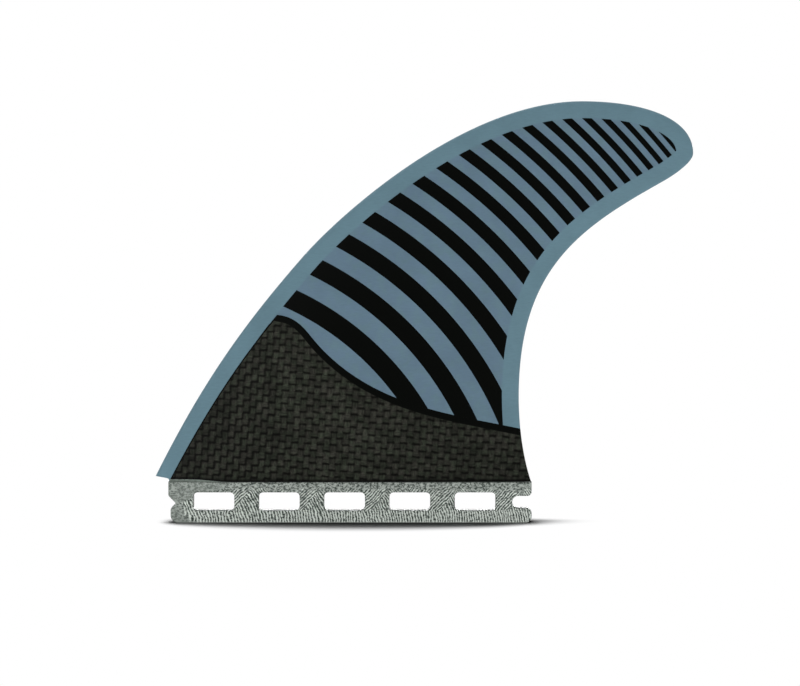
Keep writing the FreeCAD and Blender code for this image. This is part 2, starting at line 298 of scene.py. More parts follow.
# Bare glass: light of the rail under the windows and of the webs, and the mottled rail above them
RAIL_AND_WEB_LIGHT = (1.5, 0.94)
RAIL_BLUR = 1.0 * MM
RAIL_TOP_FROM = 9.0 * MM
RAIL_TOP_TO = 11.0 * MM
MOTTLE_GRAIN = 0.54
MOTTLE_COARSE = 0.08
WOBBLE = 3.0 * MM
WOBBLE_SCALE = 0.25

# Bare glass: calmer and mottled in front, up to a border that is furthest forward at a waist
CALM_FRONT_X = -56.0 * MM
CALM_FRONT_END_X = -51.5 * MM
CALM_WAIST = 6.0 * MM
CALM_SLOPE_ABOVE = 2.7
CALM_SLOPE_BELOW = -0.7
CALM_CONTRAST = 0.55
CALM_VALUE = 0.25

# Bare glass: pale foot edge, plies that show on cut faces, and finish
FOOT_EDGE = 0.22 * MM
FOOT_VALUE = 0.5
LAYER_THICKNESS = 0.42 * MM
LAYER_GAIN = 0.35
LAYER_MIDDLE = 0.8
CUT_FACE_SPAN = (0.3, 0.75)
GLASS_ROUGHNESS = (0.52, 0.38)
GLASS_SPECULAR = 0.15
GLASS_RELIEF = 0.04 * MM
GLASS_RELIEF_STRENGTH = 0.6

# Studio: each lamp's name, place, width and height in metres, and power in watts
AMBIENT_LEVEL = 0.05
LOW_LAMP_LIFT = 0.1
LOW_LAMP_SIZE = (0.9, 0.18)
LAMPS = (
    ("overhead", (0.0, 0.3, 1.0), (0.5, 0.45), 10.0),
    ("front_left", (-0.9, -1.4, LOW_LAMP_LIFT), LOW_LAMP_SIZE, 12.5),
    ("front_right", (1.0, -1.3, LOW_LAMP_LIFT), LOW_LAMP_SIZE, 8.0),
    ("rear", (0.2, 1.5, LOW_LAMP_LIFT), LOW_LAMP_SIZE, 8.0),
)

# Floor: a shadow painted into its colour, dark at the tab's foot and fading in a lens round it, and
# plain white further out
FLOOR_SIZE = 12.0
PAINTED_SHADOW_DEPTH = 0.98
PAINTED_SHADOW_REACH = 25.0 * MM
PAINTED_SHADOW_POWER = 1.6
BEHIND_SHRINK = 1.35
PAINTED_SHADOW_FRONT_X = -53.0 * MM
PAINTED_SHADOW_REAR_X = 57.0 * MM
FRONT_FADE = 5.2
REAR_FADE = 8.2
REAR_FADE_POWER = 0.524
SHADOW_HALF_LENGTH = 64.0 * MM
LEAST_SHADOW_WIDTH = 0.5
SHADOW_END_SET_BACK = 3.5 * MM
SHADOW_KEPT_TO = 18.0 * MM
FLOOR_WHITE_FROM = 43.0 * MM

# Camera: the picture's middle on the fin, and the width of what it shows there
PICTURE_MIDDLE_X = 15.7 * MM
PICTURE_MIDDLE_Z = 56.3 * MM
PICTURE_WIDTH = 251.2 * MM
CAMERA_DISTANCE = 1.6
CAMERA_ELEVATION = 2.5
CAMERA_SEES_TO = 100.0
SENSOR_WIDTH = 36.0

TAB_FRONT = -TAB_LENGTH / 2
TAB_REAR = TAB_LENGTH / 2
WINDOW_ROW = TAB_LENGTH - SOLID_FRONT_LENGTH - SOLID_REAR_LENGTH
WINDOW_LENGTH = (WINDOW_ROW - WEB_LENGTH * (WINDOW_COUNT - 1)) / WINDOW_COUNT
WINDOW_PITCH = WINDOW_LENGTH + WEB_LENGTH
BOARD_LINE = ply_low.z
APEX_HEIGHT = BOARD_LINE + BLADE_DEPTH


def flat(x, z):
    """Point in the fin's middle plane."""
    return np.array([x, z])


def direction(degrees):
    """Unit vector in the middle plane, measured up from +X."""
    return flat(math.cos(math.radians(degrees)), math.sin(math.radians(degrees)))


def cubic(start, start_handle, end_handle, end):
    """Points along a cubic curve, from its end points and the vectors of its handles."""
    t = np.linspace(0, 1, CURVE_STEPS + 1)[:, None]
    first, second = start + start_handle, end + end_handle
    return ((1 - t) ** 3 * start + 3 * t * (1 - t) ** 2 * first
            + 3 * t ** 2 * (1 - t) * second + t ** 3 * end)


def joined(curves):
    """One line of points through curves that meet end to end."""
    return np.concatenate([curves[0]] + [curve[1:] for curve in curves[1:]])


def knots():
    """Points where the curves of the blade's outline meet."""
    tip = flat(TAB_REAR + TIP_BEHIND_TAB, APEX_HEIGHT - TIP_DROP)
    return {
        "leading_foot": flat(TAB_FRONT - LEADING_OVERHANG, BOARD_LINE),
        "shoulder": flat(TAB_FRONT + SHOULDER_BACK, BOARD_LINE + SHOULDER_HEIGHT),
        "apex": flat(TAB_REAR + APEX_BEHIND_TAB, APEX_HEIGHT),
        "tip": tip,
        "underside": tip - flat(UNDERSIDE_AHEAD_OF_TIP, UNDERSIDE_DROP),
        "waist": flat(TAB_REAR - WAIST_INSIDE_TAB, BOARD_LINE + WAIST_HEIGHT),
        "trailing_foot": flat(TAB_REAR - TRAILING_FOOT_INSIDE_TAB, BOARD_LINE),
    }


def leading_edge():
    """Leading edge from the board line over the shoulder and the apex to the tip."""
    at = knots()
    start = direction(LEADING_FOOT_ANGLE) * LEADING_FOOT_HANDLE
    rise, level, upright = direction(SHOULDER_ANGLE), flat(1, 0), flat(0, 1)
    return joined([
        cubic(at["leading_foot"], start, rise * -SHOULDER_HANDLE_DOWN, at["shoulder"]),
        cubic(at["shoulder"], rise * SHOULDER_HANDLE_UP, level * -APEX_HANDLE_FORWARD, at["apex"]),
        cubic(at["apex"], level * APEX_HANDLE_BACK, upright * TIP_HANDLE_UP, at["tip"]),
    ])


def trailing_edge():
    """Trailing edge from the board line through the waist and along the underside to the tip."""
    at = knots()
    start = direction(TRAILING_FOOT_ANGLE) * TRAILING_FOOT_HANDLE
    sweep, upright = direction(UNDERSIDE_ANGLE), flat(0, 1)
    return joined([
        cubic(at["trailing_foot"], start, upright * -WAIST_HANDLE_DOWN, at["waist"]),
        cubic(at["waist"], upright * WAIST_HANDLE_UP, sweep * -UNDERSIDE_HANDLE_IN,
              at["underside"]),
        cubic(at["underside"], sweep * UNDERSIDE_HANDLE_OUT, upright * -TIP_HANDLE_DOWN,
              at["tip"]),
    ])


def point_at(line, share):
    """Points at shares of a line's length."""
    steps = np.linalg.norm(np.diff(line, axis=0), axis=1)
    reached = np.concatenate([[0], np.cumsum(steps)]) / steps.sum()
    return np.stack([np.interp(share, reached, line[:, i]) for i in (0, 1)], -1)


LEADING = leading_edge()
TRAILING = trailing_edge()


def taper(share, root, tip):
    """Size that falls from root to tip along the blade."""
    return tip + (root - tip) * (1 - np.clip(share, 0, 1) ** THICKNESS_FALL)


def rib(share):
    """Front point, unit vector back along the chord, chord, crest, nose radius and half tail."""
    front, rear = point_at(LEADING, share), point_at(TRAILING, share)
    chord = np.linalg.norm(rear - front, axis=-1)
    along = (rear - front) / chord[..., None]
    crest = np.minimum(taper(share, ROOT_THICKNESS, TIP_THICKNESS) / 2, chord * CREST_LIMIT_SHARE)
    radius = np.minimum(taper(share, ROOT_NOSE_RADIUS, TIP_NOSE_RADIUS), chord * NOSE_LIMIT_SHARE)
    tail = np.minimum(TRAILING_THICKNESS / 2, chord * TAIL_LIMIT_SHARE)
    return front, along, chord, crest, np.minimum(radius, crest), tail


def nose_end(chord, crest, radius):
    """How far back and out the round nose reaches, and its lean where it meets the face."""
    lean = np.arctan2(FRONT_FULLNESS * (crest - radius), chord * CREST_SHARE - radius)
    return radius * (1 - np.sin(lean)), radius * np.cos(lean), lean


def face_point(share, back):
    """Points of the right face at shares of the blade and distances back along the chord."""
    front, along, chord, crest, radius, tail = rib(share)
    nose_x, nose_y, _ = nose_end(chord, crest, radius)
    crest_x = chord * CREST_SHARE
    ahead = np.clip((back - nose_x) / (crest_x - nose_x), 0, 1)
    behind = np.clip((back - crest_x) / (chord - crest_x), 0, 1)
    y = np.where(back < crest_x,
                 crest - (crest - nose_y) * (1 - ahead) ** FRONT_FULLNESS,
                 crest - (crest - tail) * behind ** REAR_FULLNESS)
    place = front + along * back[..., None]
    return np.stack([place[..., 0], y, place[..., 1]], -1)


def nose_point(share, turn):
    """Points of the round nose, from its front at turn 0 to where the right face starts at turn 1."""
    front, along, chord, crest, radius, _ = rib(share)
    lean = nose_end(chord, crest, radius)[2]
    angle = turn * (math.pi / 2 - lean)
    place = front + along * (radius * (1 - np.cos(angle)))[..., None]
    return np.stack([place[..., 0], radius * np.sin(angle), place[..., 1]], -1)


def section_points(share, column):
    """Points of the right side at columns from 0 at the nose's front to 1 at the trailing edge."""
    nose_share = NOSE_STEPS / (NOSE_STEPS + FACE_STEPS)
    turn = np.clip(column / nose_share, 0, 1)
    _, _, chord, crest, radius, _ = rib(share)
    nose_x = nose_end(chord, crest, radius)[0]
    run = np.clip((column - nose_share) / (1 - nose_share), 0, 1)
    run = (1 - FRONT_CROWDING) * run + FRONT_CROWDING * run ** 2
    face = face_point(share, nose_x + (chord - nose_x) * run)
    return np.where((column < nose_share)[..., None], nose_point(share, turn), face)


def lowest(x):
    """Height of the blade's underside: the board line, or the undercut ahead of the tab."""
    ahead = TAB_FRONT - x
    undercut = UNDERCUT_LIFT + ahead * math.tan(math.radians(UNDERCUT_ANGLE))
    return BOARD_LINE + np.where(ahead > 0, undercut, 0)


def share_where(passed, shape):
    """Smallest shares of the blade at which passed(share) is true, found by halving."""
    low, high = np.zeros(shape), np.full(shape, LAST_SHARE)
    for _ in range(BISECTION_COUNT):
        middle = (low + high) / 2
        done = passed(middle)
        low, high = np.where(done, low, middle), np.where(done, middle, high)
    return high


def mesh_object(name, points, faces):
    """Smooth-shaded object of points and faces, with sharp edges where it turns sharply."""
    mesh = bpy.data.meshes.new(name)
    mesh.from_pydata(points.tolist(), [], faces)
    mesh.update()
    mesh.shade_smooth()
    mesh.set_sharp_from_angle(angle=math.radians(SMOOTH_ANGLE))
    obj = bpy.data.objects.new(name, mesh)
    bpy.context.scene.collection.objects.link(obj)
    return obj


def quads(grid):
    """Quads between neighbouring entries of a grid of vertex numbers."""
    return np.stack([grid[:-1, :-1], grid[:-1, 1:], grid[1:, 1:], grid[1:, :-1]], -1).reshape(-1, 4)


def distance_to(points, line):
    """Distance of each point from a line of closely spaced points, in the middle plane."""
    tree = kdtree.KDTree(len(line))
    for index, (x, z) in enumerate(line):
        tree.insert((x, z, 0), index)
    tree.balance()
    return np.array([tree.find((x, z, 0))[2] for x, _, z in points])


def store(obj, name, values):
    """Stores one number per vertex for the materials to read."""
    attribute = obj.data.attributes.new(name, "FLOAT", "POINT")
    attribute.data.foreach_set("value", values.astype(np.float32))


def blade():
    """The foiled blade: a closed skin with a round nose, a squared tail and an undercut foot."""
    columns = np.linspace(0, 1, NOSE_STEPS + FACE_STEPS + 1)
    start = share_where(lambda share: above_foot(share, columns), columns.shape)
    even = np.linspace(0, 1, ROW_COUNT)
    eased = (1 - np.cos(math.pi * even)) / 2
    climb = FOOT_AND_TIP_CROWDING * eased + (1 - FOOT_AND_TIP_CROWDING) * even
    share = start + (LAST_SHARE - start) * climb[:, None]
    right = section_points(share, np.broadcast_to(columns, share.shape))
    left = right[:, 1:] * (1, -1, 1)
    points = np.concatenate([right.reshape(-1, 3), left.reshape(-1, 3)])
    right_ids = np.arange(right[..., 0].size).reshape(right.shape[:2])
    left_ids = np.arange(left[..., 0].size).reshape(left.shape[:2]) + right_ids.size
    left_ids = np.concatenate([right_ids[:, :1], left_ids], 1)
    faces = np.concatenate([
        quads(right_ids)[:, ::-1],
        quads(left_ids),
        quads(np.stack([left_ids[:, -1], right_ids[:, -1]], 1)),
    ]).tolist()
    for row, turned in ((0, False), (-1, True)):
        strip = quads(np.stack([right_ids[row, 1:], left_ids[row, 1:]]))
        tip = np.array([right_ids[row, 0], right_ids[row, 1], left_ids[row, 1]])
        faces += (strip[:, ::-1] if turned else strip).tolist()
        faces.append((tip[::-1] if turned else tip).tolist())
    obj = mesh_object("blade", points, faces)
    outline = np.concatenate([LEADING, TRAILING])
    store(obj, "inset", distance_to(points, outline))
    return obj


def above_foot(share, columns):
    """Whether points of a row of columns stand clear above the blade's underside."""
    points = section_points(share, columns)
    return points[..., 2] > lowest(points[..., 0])


def rim_line():
    """Inner line of the bare rim along the lower leading edge, past the carbon's peak."""
    climb = np.gradient(LEADING, axis=0)
    climb /= np.linalg.norm(climb, axis=1)[:, None]
    inward = np.stack([climb[:, 1], -climb[:, 0]], 1)
    share = (LEADING[:, 1] - BOARD_LINE) / PLY_PEAK_HEIGHT
    width = RIM_WIDTH_AT_FOOT + (RIM_WIDTH_AT_PEAK - RIM_WIDTH_AT_FOOT) * share
    line = LEADING + inward * width[:, None]
    return line[:2 * CURVE_STEPS]


def upper_line():
    """Upper edge of the carbon, swooping down from its peak to behind the trailing edge."""
    rim = rim_line()
    peak_z = BOARD_LINE + PLY_PEAK_HEIGHT
    peak = flat(np.interp(peak_z, rim[:, 1], rim[:, 0]), peak_z)
    shoulder = flat(TAB_FRONT + PLY_SHOULDER_BACK, BOARD_LINE + PLY_SHOULDER_HEIGHT)
    rear = flat(TAB_REAR, BOARD_LINE + PLY_REAR_HEIGHT)
    start = direction(PLY_PEAK_ANGLE) * PLY_PEAK_HANDLE
    swoop, last = direction(PLY_SHOULDER_ANGLE), direction(PLY_REAR_ANGLE)
    return joined([
        cubic(peak, start, swoop * -PLY_SHOULDER_HANDLE_UP, shoulder),
        cubic(shoulder, swoop * PLY_SHOULDER_HANDLE_DOWN, last * -PLY_REAR_HANDLE, rear),
        np.stack([rear, rear + last * PLY_RUN_OUT]),
    ])


def ply_points(share, column, rim):
    """Points of the right face at columns from 0 at the rim's inner line to 1 at the trailing edge."""
    front, along, chord = rib(share)[:3]
    reach = rim_reach(front, along, rim)
    return face_point(share, reach + (chord - reach) * column)


def rim_reach(front, along, rim):
    """Distance back from front points, along their ribs, to the rim's inner line."""
    past_rim = 4 * RIM_WIDTH_AT_PEAK
    low, high = np.zeros(front.shape[:-1]), np.full(front.shape[:-1], past_rim)
    for _ in range(BISECTION_COUNT):
        middle = (low + high) / 2
        place = front + along * middle[..., None]
        inside = place[..., 0] > np.interp(place[..., 1], rim[:, 1], rim[:, 0])
        low, high = np.where(inside, low, middle), np.where(inside, middle, high)
    return high


def carbon_cloth(name, side, node):
    """Thin sheet of cloth in one face, from the tab up to its swooping upper edge."""
    rim, upper = rim_line(), upper_line()
    columns = np.linspace(0, 1, PLY_COLUMN_COUNT)

    def past_foot(share):
        return ply_points(share, columns, rim)[..., 2] > BOARD_LINE

    def past_upper(share):
        points = ply_points(share, columns, rim)
        return points[..., 2] > np.interp(points[..., 0], upper[:, 0], upper[:, 1])

    foot = share_where(past_foot, columns.shape)
    top = share_where(past_upper, columns.shape)
    climb = np.linspace(0, 1, PLY_ROW_COUNT)[:, None]
    share = foot + (top - foot) * climb
    skin = ply_points(share, np.broadcast_to(columns, share.shape), rim)
    outer = (skin + (0, PLY_PROUD, 0)) * (1, side, 1)
    inner = (skin - (0, PLY_SUNK, 0)) * (1, side, 1)
    points = np.concatenate([outer.reshape(-1, 3), inner.reshape(-1, 3)])
    out_ids = np.arange(share.size).reshape(share.shape)
    in_ids = out_ids + share.size
    foot_and_rear = [out_ids[0, :-1], out_ids[:-1, -1]]
    border = np.concatenate(foot_and_rear + [out_ids[-1, :0:-1], out_ids[::-1, 0]])
    ring = np.stack([border, border + share.size])
    faces = np.concatenate([
        quads(out_ids)[:, ::-side],
        quads(in_ids)[:, ::side],
        quads(ring)[:, ::side],
    ])
    obj = mesh_object(name, points, faces.tolist())
    store(obj, "below_top", distance_to(points, dense(upper)))
    store(obj, "behind_rim", distance_to(points, rim))
    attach(obj, "root")
    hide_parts(node)
    return obj


def dense(line):
    """The line with its long last stretch divided as finely as the rest."""
    share = np.linspace(0, 1, 4 * CURVE_STEPS)
    return point_at(line, share)


def rounded(corners):
    """Points of a closed outline through (x, z, radius) corners, with round corners as arcs."""
    places = []
    for index, (x, z, radius) in enumerate(corners):
        corner = flat(x, z)
        before = flat(*corners[index - 1][:2]) - corner
        after = flat(*corners[(index + 1) % len(corners)][:2]) - corner
        before, after = before / np.linalg.norm(before), after / np.linalg.norm(after)
        if radius == 0:
            places.append(corner)
            continue
        half = math.acos(np.clip(before @ after, -1, 1)) / 2
        inward = (before + after) / np.linalg.norm(before + after)
        centre = corner + inward * radius / math.sin(half)
        first = corner + before * radius / math.tan(half) - centre
        last = corner + after * radius / math.tan(half) - centre
        sweep = math.pi - 2 * half
        for step in range(CORNER_STEPS + 1):
            part = step / CORNER_STEPS * sweep
            turned = first * math.sin(sweep - part) + last * math.sin(part)
            places.append(centre + turned / math.sin(sweep))
    return places


def tab_outline():
    """Side outline of the tab, with the screw notch in front and the pin slot behind."""
    lobe_front = TAB_FRONT + FRONT_LOBE_SETBACK
    slot_end = TAB_REAR - SLOT_LENGTH
    slot_top = SLOT_LIFT + SLOT_WIDTH
    return rounded([
        (lobe_front, 0, FRONT_LOBE_FOOT_RADIUS),
        (TAB_REAR, 0, REAR_FOOT_RADIUS),
        (TAB_REAR, SLOT_LIFT, SLOT_LOWER_LIP_RADIUS),
        (slot_end, SLOT_LIFT, SLOT_WIDTH / 2),
        (slot_end, slot_top, SLOT_WIDTH / 2),
        (TAB_REAR, slot_top, SLOT_UPPER_LIP_RADIUS),
        (TAB_REAR, BOARD_LINE, 0),
        (TAB_FRONT, BOARD_LINE, 0),
        (TAB_FRONT, NOTCH_LIFT + NOTCH_DEPTH, NOTCH_LIP_RADIUS),
        (TAB_FRONT + NOTCH_DEPTH, NOTCH_LIFT, NOTCH_ROOT_RADIUS),
        (lobe_front, NOTCH_LIFT - NOTCH_DEPTH + FRONT_LOBE_SETBACK, FRONT_LOBE_TOP_RADIUS),
    ])


def window_outlines():
    """Outlines of the windows, which share the length that the solid ends and webs leave."""
    top = WINDOW_LIFT + WINDOW_HEIGHT
    outlines = []
    for index in range(WINDOW_COUNT):
        low = TAB_FRONT + SOLID_FRONT_LENGTH + WINDOW_PITCH * index
        high = low + WINDOW_LENGTH
        corners = ((low, WINDOW_LIFT), (high, WINDOW_LIFT), (high, top), (low, top))
        outlines.append(rounded([(x, z, WINDOW_CORNER_RADIUS) for x, z in corners]))
    return outlines


def even_out_flats(mesh):
    """Turns edges in the flat sides, so that no triangle there has its corners in one line."""
    work = bmesh.new()
    work.from_mesh(mesh)
    flats = [face for face in work.faces if len(face.verts) == 3]
    flat_set = set(flats)
    inner = [edge for edge in work.edges if flat_set.issuperset(edge.link_faces)]
    bmesh.ops.beautify_fill(work, faces=flats, edges=inner)
    work.to_mesh(mesh)
    work.free()


def tab():
    """The tab: its outline and windows as a curve with depth and eased edges, turned into a mesh."""
    curve = bpy.data.curves.new("tab", "CURVE")
    curve.dimensions = "2D"
    curve.fill_mode = "BOTH"
    curve.extrude = TAB_THICKNESS / 2 - TAB_EDGE
    curve.bevel_depth = TAB_EDGE
    curve.bevel_resolution = TAB_EDGE_STEPS
    curve.offset = -TAB_EDGE
    for outline in [tab_outline()] + window_outlines():
        spline = curve.splines.new("POLY")
        spline.points.add(len(outline) - 1)
        for point, (x, z) in zip(spline.points, outline):
            point.co = (x, z, 0, 1)
        spline.use_cyclic_u = True
    made = bpy.data.objects.new("tab", curve)
    bpy.context.scene.collection.objects.link(made)
    bpy.context.view_layer.update()
    mesh = bpy.data.meshes.new_from_object(made)
    bpy.data.objects.remove(made)
    even_out_flats(mesh)
    points = np.array([(v.co.x, -v.co.z, v.co.y) for v in mesh.vertices])
    faces = [list(face.vertices) for face in mesh.polygons]
    return mesh_object("tab_moulding", points, faces)


def linear(colour):
    """Linear colour, with alpha, from sRGB numbers up to 255, by the sRGB standard's own curve."""
    shares = [channel / 255 for channel in colour]
    return [s / 12.92 if s <= 0.04045 else ((s + 0.055) / 1.055) ** 2.4 for s in shares] + [1.0]


class Graph:
    """Short forms for building one material's nodes. Values may be numbers, colours or sockets."""

    def __init__(self, name):
        self.material = bpy.data.materials.new(name)
        self.material.use_nodes = True
        self.tree = self.material.node_tree
        self.shader = self.tree.nodes["Principled BSDF"]

    def feed(self, socket, value):
        if isinstance(value, bpy.types.NodeSocket):
            self.tree.links.new(value, socket)
        else:
            socket.default_value = value

    def node(self, kind, inputs=None, **settings):
        made = self.tree.nodes.new(kind)
        for name, value in settings.items():
            setattr(made, name, value)
        for name, value in (inputs or {}).items():
            self.feed(made.inputs[name], value)
        return made

    def math(self, operation, *values):
        return self.node("ShaderNodeMath", dict(enumerate(values)), operation=operation).outputs[0]

    def plus(self, first, second):
        return self.math("ADD", first, second)

    def minus(self, first, second):
        return self.math("SUBTRACT", first, second)

    def times(self, first, second):
        return self.math("MULTIPLY", first, second)

    def blend(self, factor, first, second):
        """A number that goes from first, at factor 0, to second, at factor 1."""
        return self.math("MULTIPLY_ADD", self.minus(second, first), factor, first)

    def vector(self, operation, *values):
        made = self.node("ShaderNodeVectorMath", dict(enumerate(values)), operation=operation)
        return made.outputs["Value" if operation == "LENGTH" else "Vector"]

    def step(self, value, low, high, to_low=0.0, to_high=1.0):
        """Smooth step of a value from low to high."""
        made = self.node("ShaderNodeMapRange", interpolation_type="SMOOTHSTEP")
        for index, entry in enumerate((value, low, high, to_low, to_high)):
            self.feed(made.inputs[index], entry)
        return made.outputs[0]

    def mix(self, factor, first, second):
        """Mix of two colours, which the node takes in its sockets 6 and 7."""
        made = self.node("ShaderNodeMix", data_type="RGBA")
        for index, entry in ((0, factor), (6, first), (7, second)):
            self.feed(made.inputs[index], entry)
        return made.outputs[2]

    def scaled(self, colour, factor):
        """Colour or vector times a number."""
        first = colour if isinstance(colour, bpy.types.NodeSocket) else colour[:3]
        made = self.node("ShaderNodeVectorMath", {0: first, "Scale": factor}, operation="SCALE")
        return made.outputs[0]

    def place(self):
        """Where the surface is, in millimetres: X, Y and Z."""
        coordinates = self.node("ShaderNodeTexCoord").outputs["Object"]
        return self.scaled(coordinates, 1 / MM)

    def split(self, vector):
        made = self.node("ShaderNodeSeparateXYZ", {0: vector})
        return made.outputs[0], made.outputs[1], made.outputs[2]

    def joined(self, x, y, z=0.0):
        return self.node("ShaderNodeCombineXYZ", {0: x, 1: y, 2: z}).outputs[0]

    def stored(self, name):
        """One of the mesh's stored numbers, in millimetres."""
        fac = self.node("ShaderNodeAttribute", attribute_name=name).outputs["Fac"]
        return self.times(fac, 1 / MM)

    def noise(self, vector, scale, detail=2.0, roughness=0.5):
        """Noise from 0 to 1 with features about 1/scale across."""
        inputs = {"Vector": vector, "Scale": scale, "Detail": detail, "Roughness": roughness}
        return self.node("ShaderNodeTexNoise", inputs).outputs["Fac"]

    def stretched_noise(self, vector, stretch, *noise):
        """Noise whose features are longest where stretch, for X, Y and Z, is least."""
        return self.noise(self.vector("MULTIPLY", vector, stretch), *noise)

    def swing(self, vector, scale, size, detail=2.0):
        """Noise that swings about 0, within half of size to each side."""
        return self.times(self.minus(self.noise(vector, scale, detail), 0.5), size)

    def bump(self, height, distance, strength=1.0):
        inputs = {"Height": height, "Distance": distance, "Strength": strength}
        return self.node("ShaderNodeBump", inputs).outputs["Normal"]

    def finish(self, **sockets):
        """Feeds the shader: underscores in names stand for spaces."""
        for name, value in sockets.items():
            self.feed(self.shader.inputs[name.replace("_", " ")], value)
        return self.material


def ripple_ink(graph, place):
    """1 in the printed ripples and 0 between them: rings whose period shrinks with distance."""
    x, _, z = graph.split(place)
    behind = graph.minus(x, RIPPLE_X / MM)
    above = graph.minus(z, RIPPLE_Z / MM)
    radius = graph.vector("LENGTH", graph.joined(behind, above))
    shrink = (RIPPLE_FIRST_PERIOD - RIPPLE_LAST_PERIOD) / (RIPPLE_END - RIPPLE_START)
    first = RIPPLE_FIRST_PERIOD / MM
    beyond = graph.minus(radius, RIPPLE_START / MM)
    period = graph.minus(first, graph.times(beyond, shrink))
    growth = graph.math("LOGARITHM", graph.math("DIVIDE", first, period), math.e)
    turns = graph.plus(graph.math("DIVIDE", growth, shrink), RIPPLE_OFFSET)
    return graph.math("LESS_THAN", graph.math("FRACT", turns), RIPPLE_INK_SHARE)


def painted_laminate():
    """Blue-grey pigmented laminate with a bare rim, black ripples on its panel and a satin coat."""
    graph = Graph("painted_laminate")
    place = graph.place()
    inset = graph.stored("inset")
    edge, blur = PANEL_INSET / MM, PANEL_EDGE_BLUR / MM
    in_panel = graph.step(inset, edge - blur, edge + blur)
    cloudy = graph.noise(place, CLOUD_SCALE, CLOUD_DETAIL)
    fibres = graph.stretched_noise(place, PAINT_FIBRE_STRETCH, PAINT_FIBRE_SCALE, *FINE_NOISE)
    cloud_tone = graph.step(cloudy, *NOISE_SPAN, *CLOUD_TONE)
    tone = graph.plus(cloud_tone, graph.step(fibres, *NOISE_SPAN, *PAINT_FIBRE_TONE))
    hue = graph.noise(place, PAINT_HUE_SCALE)
    greener = graph.step(hue, *PAINT_HUE_SPAN, 0.0, PAINT_HUE_SHARE)
    panel = graph.mix(greener, linear(PANEL_BLUE), linear(PANEL_GREEN))
    blue = graph.scaled(graph.mix(in_panel, linear(RIM_BLUE), panel), tone)
    worn = graph.step(inset, *WORN_SPAN, WORN_SHARE, 0.0)
    blue = graph.mix(worn, blue, linear(WORN_BLUE))
    in_print = graph.math("GREATER_THAN", inset, edge)
    ink = graph.times(ripple_ink(graph, place), in_print)
    ink_tone = graph.scaled(linear(INK), graph.step(fibres, *NOISE_SPAN, *INK_TONE))
    sanding = graph.stretched_noise(place, SANDING_STRETCH, SANDING_SCALE, *SANDING_NOISE)
    return graph.finish(
        Base_Color=graph.mix(ink, blue, ink_tone),
        Roughness=graph.step(sanding, *SANDING_SPAN, *PAINT_ROUGHNESS),
        Specular_IOR_Level=COAT_SPECULAR,
        Normal=graph.bump(sanding, PAINT_RELIEF),
    )


def across_tows(graph, place, first, second, seed):
    """Place across the tows, in tows, with some wander."""
    turn = math.radians(WEAVE_TURN)
    spot = graph.vector("ADD", place, (seed, seed, 0.0))
    wander = graph.swing(spot, WANDER_SCALE, WEAVE_WANDER / MM, SOFT_DETAIL)
    jitter = graph.swing(spot, JITTER_SCALE, WEAVE_JITTER / MM, SOFT_DETAIL)
    turned = graph.plus(graph.times(first, math.cos(turn)), graph.times(second, math.sin(turn)))
    across = graph.plus(turned, graph.plus(wander, jitter))
    return graph.math("DIVIDE", across, TOW_WIDTH / MM)


def carbon_weave(graph, place):
    """Plain weave: its relief, its painted light and shade, a random number per crossing, and 1 on
    upright tows.
    """
    x, _, z = graph.split(place)
    u = across_tows(graph, place, x, graph.times(z, -1.0), UPRIGHT_TOW_SEED)
    v = across_tows(graph, place, z, x, LEVEL_TOW_SEED)
    column, row = graph.math("FLOOR", u), graph.math("FLOOR", v)
    upright = graph.math("FLOORED_MODULO", graph.plus(column, row), 2.0)
    in_u, in_v = graph.math("FRACT", u), graph.math("FRACT", v)
    width = TOW_WIDTH / MM
    waver = GAP_WAVER / MM
    ragged = graph.times(graph.noise(place, GAP_WAVER_SCALE, *FINE_NOISE), waver)

    def lit(away, reach, least):
        """Painted light that rises from least to 1 over a reach, from 0 mm away, with a ragged edge."""
        rise = graph.step(graph.plus(away, ragged), waver / 2, reach / MM + waver / 2)
        return graph.blend(rise, least, 1.0)

    def from_edge(share):
        """Distance from an edge of the crossing, in millimetres."""
        return graph.times(graph.math("ABSOLUTE", share), width)

    def from_gap(value):
        """Distance from the nearest gap between tows, in millimetres."""
        share = graph.math("FRACT", graph.plus(value, 0.5))
        return from_edge(graph.minus(share, 0.5))

    def hump(value):
        """Height across a crossing, from 0 at its edges to 1 in its middle."""
        centred = graph.math("ABSOLUTE", graph.math("MULTIPLY_ADD", value, 2.0, -1.0))
        return graph.minus(1.0, graph.math("POWER", centred, TOW_HUMP_POWER))

    # Painted shade: the gap at the top end of each upright crossing and the gap at its left side are
    # shaded, as if lit from below and from +X; the gaps on the other sides stay lighter
    ends = lit(from_edge(graph.minus(upright, in_v)), DIVE_SHADE_LENGTH, 0.0)
    depth = graph.step(x, SIDE_SHADE_DEEP_X / MM, SIDE_SHADE_FAINT_X / MM, *SHADED_SIDE_LIGHT)
    level = graph.minus(1.0, upright)
    shaded_sides = lit(from_edge(graph.minus(level, in_u)), SIDE_GAP_SHADE, depth)
    lit_sides = lit(from_edge(graph.minus(upright, in_u)), SIDE_GAP_SHADE, LIT_SIDE_LIGHT)
    from_hole = graph.vector("LENGTH", graph.joined(from_gap(u), from_gap(v)))
    holes = lit(from_hole, HOLE_RADIUS, HOLE_LIGHT)
    light = graph.times(graph.times(ends, holes), graph.times(shaded_sides, lit_sides))
    relief = graph.times(hump(in_u), hump(in_v))
    crossing = {"Vector": graph.joined(column, row)}
    each = graph.node("ShaderNodeTexWhiteNoise", crossing).outputs["Value"]
    return relief, light, each, upright


